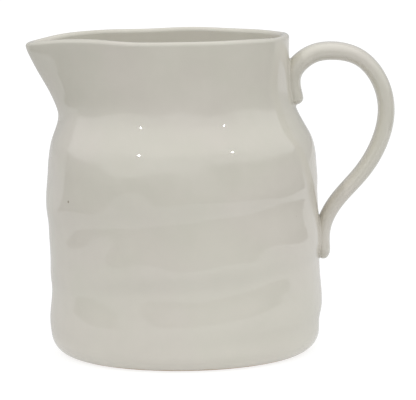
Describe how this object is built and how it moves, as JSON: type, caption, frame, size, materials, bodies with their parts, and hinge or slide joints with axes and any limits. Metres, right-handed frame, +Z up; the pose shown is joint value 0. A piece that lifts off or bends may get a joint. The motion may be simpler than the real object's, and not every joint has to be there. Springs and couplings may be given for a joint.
{
  "type": "ceramic pitcher",
  "caption": "Hand-thrown glazed ceramic pitcher with a rounded belly, a narrower neck, a beak spout and a strap handle.",
  "frame": {"origin": "middle of the foot, on the surface that the pitcher stands on", "axes": "+Z up; +X towards the handle, so the spout points to -X; +Y completes the right-handed frame"},
  "size_m": [0.2206, 0.1638, 0.1915],
  "materials": {
    "glaze": "gloss",
    "foot": "gloss"
  },
  "bodies": {
    "root": {"base": "foot", "wall": "glaze", "spout": "glaze", "handle": "glaze", "upper_joint": "glaze", "lower_joint": "glaze"}
  },
  "joints": []
}
